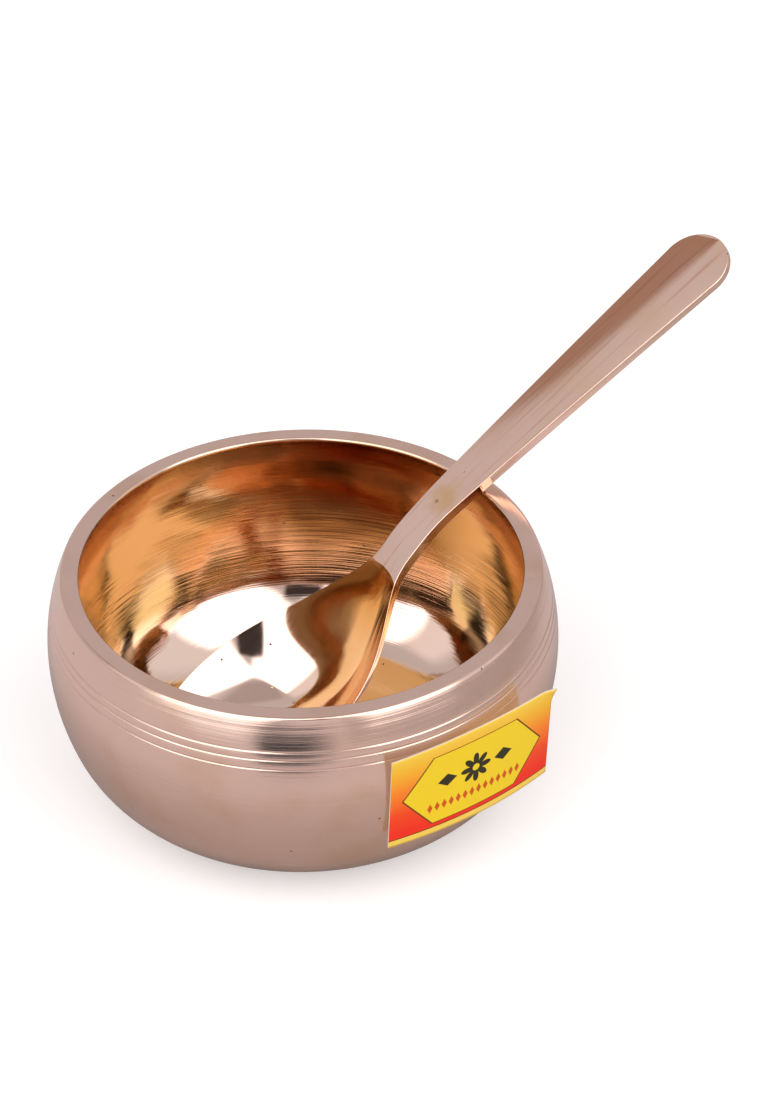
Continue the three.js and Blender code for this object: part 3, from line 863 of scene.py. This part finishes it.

# %% [markdown]
# The satin is rose, the mirror paler. The inner wall sees itself many times over. That golden reflection is
# painted into its colour, and painted shade makes it browner at its left. Under the lip at the back lies a
# band of painted shade, which reaches lower to the right of the middle.

# %% Bowl finish: colours
satin_colour, satin_warm = (0.81, 0.58, 0.49, 1), (0.74, 0.505, 0.38, 1)
mirror_colour, mirror_warm = (0.88, 0.67, 0.57, 1), (0.86, 0.63, 0.50, 1)
# Inner wall: bronze with a painted golden reflection, and painted shade at its left.
wall_bronze_with_painted_reflection, left_wall_painted_shade = (0.88, 0.71, 0.49, 1), (0.46, 0.33, 0.17, 1)
# Painted shade: the colour of a dark band under the lip at the back, how far down it reaches and where it
# lies.
painted_shade_colour, painted_shade_below, deeper_below = (0.31, 0.195, 0.08, 1), 12, 7.0
painted_shade_left, painted_shade_right, painted_shade_back = (-0.038, 0.000), (0.038, 0.022), (-0.012, 0.030)
left_shade, deeper_from = (-0.044, 0.018), (-0.010, 0.006)
wear = add_node(tree, "ShaderNodeGroup", node_tree=wear_group)
spot = own_place(tree)
spot_x, spot_y, _ = split_up(tree, spot)
# The inner wall's colour: painted reflection, darkened towards the left by painted shade.
wall_shade = mix_colours(tree, ramp_between(tree, spot_x, *left_shade), left_wall_painted_shade, wall_bronze_with_painted_reflection)
for finish, satin, mirror in (("Clean", satin_colour, mirror_colour),
                              ("Tarnished", satin_warm, mirror_warm)):
    inside_colour = mix_colours(tree, on_wall, mirror, wall_shade)
    tree.links.new(mix_colours(tree, polished, satin, inside_colour), wear.inputs[finish])
# The band of painted shade reaches deeper to the right of the middle.
deeper = ramp_between(tree, spot_x, *deeper_from, 0.0, deeper_below)
shifted = maths(tree, "SUBTRACT", outline_value, deeper)
height_band = maths(tree, "MULTIPLY", ramp_between(tree, outline_value, lip_place, lip_place + 1.5),
                    ramp_between(tree, shifted, wall_place + painted_shade_below, wall_place - 1))
across_bowl = maths(tree, "MULTIPLY", ramp_between(tree, spot_x, *painted_shade_left),
                    ramp_between(tree, spot_x, *painted_shade_right))
behind = maths(tree, "MULTIPLY", across_bowl, ramp_between(tree, spot_y, *painted_shade_back))
# Mask of the band of painted shade under the lip at the back.
painted_shade_band = maths(tree, "MULTIPLY", height_band, behind)
bowl_colour = mix_colours(tree, painted_shade_band, wear.outputs["Colour"], painted_shade_colour)
print("painted shade reaches", painted_shade_below, "to", painted_shade_below + deeper_below, "mm down the wall")

# %% [markdown]
# Roughness blurs and relief bends what the metal mirrors. The brushed lines are up to three
# hundredths of a millimetre deep outside and less inside. A broad, faint swell keeps the mirror
# from looking like glass, and the anisotropic setting stretches highlights across the lines.

# %% Bowl finish: roughness and relief
noise_range, satin_range, wall_range, floor_rough = (0.3, 0.7), (0.14, 0.19), (0.02, 0.05), 0.05
satin_lines, floor_lines, wall_lines = 0.00003, 0.000012, 0.000023
floor_swell, wall_swell, pit_depth = 0.0005, 0.0006, 0.00004
satin_rough = ramp_between(tree, fine, *noise_range, *satin_range)
wall_rough = ramp_between(tree, brushed, *noise_range, *wall_range)
rough = mix_values(tree, polished, satin_rough, mix_values(tree, on_wall, floor_rough, wall_rough))
swell = noise(tree, spot, 60.0, 1.0)
inner_lines = ramp_between(tree, on_wall, 0, 1, floor_lines, wall_lines, smooth=False)
line_depth = mix_values(tree, polished, satin_lines, inner_lines)
both_lines = maths(tree, "ADD", brushed, maths(tree, "MULTIPLY", fine, 2.0))
height = maths(tree, "MULTIPLY", both_lines, line_depth)
swell_depth = ramp_between(tree, on_wall, 0, 1, floor_swell, wall_swell, smooth=False)
height = maths(tree, "ADD", height, maths(tree, "MULTIPLY", swell, swell_depth))
height = maths(tree, "SUBTRACT", height, maths(tree, "MULTIPLY", wear.outputs["Pits"], pit_depth))
relief = add_node(tree, "ShaderNodeBump", {"Strength": 1.0, "Distance": 1.0, "Height": height})
tangent = add_node(tree, "ShaderNodeTangent", direction_type="RADIAL", axis="Z")
metal = add_node(tree, "ShaderNodeBsdfPrincipled",
                 {"Base Color": bowl_colour, "Metallic": 1.0, "Roughness": rough,
                  "Anisotropic": 0.7, "Anisotropic Rotation": 0.25, "Normal": relief.outputs[0],
                  "Tangent": tangent.outputs[0]})
tree.links.new(metal.outputs[0], output.inputs["Surface"])
bowl.data.materials.append(turned_bronze)
print("bowl finish of", len(tree.nodes), "nodes")

# %% [markdown]
# ## The spoon's finish
# The spoon is buffed along its length. It is nearly a mirror, with hair-fine scratches along
# it and broad faint streaks on the handle. The hollow has the bowl's own mirror colour and
# grows more golden towards the neck.

# %% Spoon finish: colours
handle_colour, handle_warm = (0.94, 0.68, 0.57, 1), (0.93, 0.64, 0.49, 1)
streak_colour, neck_metal = (0.80, 0.50, 0.38, 1), (0.76, 0.46, 0.24, 1)
neck_reach, handle_edge, streak_range = (-16, -4), (-0.15, 0.15), (0.52, 0.70)
buffed_bronze, tree, output = blank_material("buffed_bronze")
on_spoon = own_value(tree, "spoon_place")
along_spoon = split_up(tree, on_spoon)[0]


def lengthwise(squeeze, detail, roughness):
    """Noise that is drawn out along the spoon, because its place is squeezed that way."""
    drawn_out = add_node(tree, "ShaderNodeMapping", {"Vector": on_spoon, "Scale": squeeze})
    return noise(tree, drawn_out.outputs[0], 1.0, detail, roughness)


scratches = lengthwise((0.05, 2.4, 0.6), 4.0, 0.7)
streaks = lengthwise((0.025, 0.9, 0.3), 2.0, 0.5)
wear = add_node(tree, "ShaderNodeGroup", node_tree=wear_group)
handle_part = ramp_between(tree, along_spoon, *handle_edge)
streaked = mix_colours(tree, ramp_between(tree, streaks, *streak_range), handle_colour, streak_colour)
near_neck = ramp_between(tree, along_spoon, *neck_reach)
for finish, hollow, handle in (("Clean", mirror_colour, streaked),
                               ("Tarnished", mirror_warm, handle_warm)):
    hollow_colour = mix_colours(tree, near_neck, hollow, neck_metal)
    tree.links.new(mix_colours(tree, handle_part, hollow_colour, handle), wear.inputs[finish])
print("spoon scratches run along its length")

# %% [markdown]
# Where the neck was last wiped, a brown stain has dried, with a small pit beside it. Both are
# placed in the spoon's own frame, and noise makes the stain's edge uneven. The relief is far
# finer than on the bowl, so that the spoon stays the brighter mirror of the two.

# %% Spoon finish: stain and relief
stain_middle, stain_colour, stain_wander = (19.2, -0.5, 0.0), (0.84, 0.54, 0.27, 1), 6.0
stain_edge, stain_strength = (2.0, -2.5), 0.8
pit_middle, pit_brown, pit_rim, pit_strength = (17.6, 0.4, 0.0), (0.22, 0.17, 0.07, 1), (0.65, 0.2), 0.6
buffed_range, scratch_depth = (0.05, 0.09), 0.0000025
from_stain = vector_maths(tree, "DISTANCE", on_spoon, stain_middle, output="Value")
uneven = maths(tree, "MULTIPLY", noise(tree, on_spoon, 0.35, 3.0), stain_wander)
stain_reach = maths(tree, "SUBTRACT", from_stain, uneven)
stain = ramp_between(tree, stain_reach, *stain_edge, 0.0, stain_strength)
from_pit = vector_maths(tree, "DISTANCE", on_spoon, pit_middle, output="Value")
pit = ramp_between(tree, from_pit, *pit_rim, 0.0, pit_strength)
spoon_colour = mix_colours(tree, stain, wear.outputs["Colour"], stain_colour)
spoon_colour = mix_colours(tree, pit, spoon_colour, pit_brown)
buffed_rough = ramp_between(tree, scratches, *noise_range, *buffed_range)
height = maths(tree, "MULTIPLY", scratches, scratch_depth)
height = maths(tree, "SUBTRACT", height, maths(tree, "MULTIPLY", wear.outputs["Pits"], pit_depth))
relief = add_node(tree, "ShaderNodeBump", {"Strength": 1.0, "Distance": 1.0, "Height": height})
metal = add_node(tree, "ShaderNodeBsdfPrincipled",
                 {"Base Color": spoon_colour, "Metallic": 1.0, "Roughness": buffed_rough,
                  "Normal": relief.outputs[0]})
tree.links.new(metal.outputs[0], output.inputs["Surface"])
spoon.data.materials.append(buffed_bronze)
print("spoon finish of", len(tree.nodes), "nodes")

# %% [markdown]
# ## The label's print
# The card is printed from yellow at the top through orange to red, with a yellow strip along
# the bottom where the sheet was cut. In the middle is a pointed panel with a thin brown line
# round it and a plain ornament: a flower between two lozenges, over a row of small ones. All
# shapes are drawn from the place on the card in millimetres, so their edges stay sharp.

# %% Card print: places and shapes
printed_card, tree, output = blank_material("printed_card")
card_x, card_y, _ = split_up(tree, own_value(tree, "print_place"))
wide, tall = maths(tree, "ABSOLUTE", card_x), maths(tree, "ABSOLUTE", card_y)
line_soft = 0.08


def inside_of(distance, edge):
    """1 where a distance in millimetres is below the edge and 0 above it."""
    return ramp_between(tree, distance, edge + line_soft, edge - line_soft)


def lozenge(place_x, middle_x, middle_y, half_wide, half_tall):
    """A diamond: the shares of its half width and its half height add up to less than one."""
    away_x = maths(tree, "ABSOLUTE", maths(tree, "SUBTRACT", place_x, middle_x))
    away_y = maths(tree, "ABSOLUTE", maths(tree, "SUBTRACT", card_y, middle_y))
    scaled = maths(tree, "ADD", maths(tree, "DIVIDE", away_x, half_wide),
                   maths(tree, "DIVIDE", away_y, half_tall))
    return inside_of(maths(tree, "MULTIPLY", scaled, half_wide), half_wide)


print("card print", label_length, "by", label_height, "mm")

# %% Card print: ground and panel
brown, ink, yellow = (0.16, 0.04, 0.006, 1), (0.03, 0.025, 0.01, 1), (0.86, 0.62, 0.02, 1)
lozenge_red, strip_yellow = (0.62, 0.09, 0.01, 1), (0.90, 0.62, 0.10, 1)
panel_half, panel_line, strip_height, strip_line = 16.6, 0.4, 1.5, 0.25
grade = ramp_between(tree, card_y, -label_height / 2, label_height / 2, smooth=False)
ramp = add_node(tree, "ShaderNodeValToRGB", {0: grade})
stops = [(0.14, (0.86, 0.03, 0.012, 1)), (0.36, (0.86, 0.07, 0.012, 1)), (0.62, (0.90, 0.24, 0.02, 1)),
         (0.86, (0.88, 0.48, 0.03, 1)), (0.97, (0.88, 0.58, 0.06, 1))]
for element in range(len(stops) - 2):
    ramp.color_ramp.elements.new(0.5)
for element, (place, colour) in zip(ramp.color_ramp.elements, stops):
    element.position, element.color = place, colour
panel_reach = maths(tree, "MAXIMUM", maths(tree, "MULTIPLY", tall, 2.0),
                    maths(tree, "ADD", wide, maths(tree, "MULTIPLY", tall, 0.8)))
printed = mix_colours(tree, inside_of(panel_reach, panel_half), ramp.outputs[0], brown)
printed = mix_colours(tree, inside_of(panel_reach, panel_half - panel_line), printed, yellow)
print("panel", 2 * panel_half, "mm wide")

# %% [markdown]
# The flower is a circle whose reach grows and shrinks eight times on the way round, with the
# size of the cosine of four times the angle. The row of lozenges is one lozenge, drawn where a
# place that runs to and fro stands for the place along the card.

# %% Card print: ornament and strip
flower_height, petal_inner, petal_outer, eye_radius = 1.4, 1.5, 3.5, 0.8
side_place, side_size = 6.6, (2.2, 1.5)
row_step, row_height, row_half, row_size = 0.8, -4.3, 11.2, (0.6, 1.15)
flower_x, flower_y = card_x, maths(tree, "SUBTRACT", card_y, flower_height)
squares = [maths(tree, "POWER", maths(tree, "ABSOLUTE", way), 2.0) for way in (flower_x, flower_y)]
from_middle = maths(tree, "SQRT", maths(tree, "ADD", *squares))
petal_angle = maths(tree, "MULTIPLY", maths(tree, "ARCTAN2", flower_y, flower_x), 4.0)
petal = maths(tree, "ABSOLUTE", maths(tree, "COSINE", petal_angle))
petal_reach = ramp_between(tree, petal, 0.0, 1.0, petal_inner, petal_outer, smooth=False)
flower = inside_of(maths(tree, "SUBTRACT", from_middle, petal_reach), 0.0)
printed = mix_colours(tree, flower, printed, ink)
printed = mix_colours(tree, inside_of(from_middle, eye_radius), printed, yellow)
printed = mix_colours(tree, lozenge(wide, side_place, flower_height, *side_size), printed, ink)
row_x = maths(tree, "PINGPONG", card_x, row_step)
in_row = maths(tree, "MULTIPLY", lozenge(row_x, row_step, row_height, *row_size),
               inside_of(wide, row_half))
printed = mix_colours(tree, in_row, printed, lozenge_red)
from_bottom = maths(tree, "ADD", card_y, label_height / 2)
printed = mix_colours(tree, inside_of(from_bottom, strip_height + strip_line), printed, brown)
printed = mix_colours(tree, inside_of(from_bottom, strip_height), printed, strip_yellow)
card = add_node(tree, "ShaderNodeBsdfPrincipled", {"Base Color": printed, "Roughness": 0.5,
                                                  "Specular IOR Level": 0.2})
tree.links.new(card.outputs[0], output.inputs["Surface"])
label.data.materials.append(printed_card)
print("label printed with", len(tree.nodes), "nodes")

# %% [markdown]
# The back and the cut edges are bare paper. Their emission is a painted glow, as if light came through the
# card, and it is more yellow towards the corner that stands off.

# %% Card paper
card_paper, tree, output = blank_material("card_paper")
paper_colour, painted_glow_left, painted_glow_right = (0.44, 0.37, 0.28, 1), (0.42, 0.36, 0.30, 1), (0.62, 0.50, 0.28, 1)
glow_change = (-15.0, 4.0)
card_side = split_up(tree, own_value(tree, "print_place"))[0]
# The paper's emission is a painted glow, more yellow towards the corner that stands off.
painted_glow_colour = mix_colours(tree, ramp_between(tree, card_side, *glow_change), painted_glow_left, painted_glow_right)
paper = add_node(tree, "ShaderNodeBsdfPrincipled",
                 {"Base Color": paper_colour, "Roughness": 0.7,
                  "Emission Color": painted_glow_colour, "Emission Strength": 0.6})
tree.links.new(paper.outputs[0], output.inputs["Surface"])
label.data.materials.append(card_paper)
print("paper of", len(tree.nodes), "nodes")
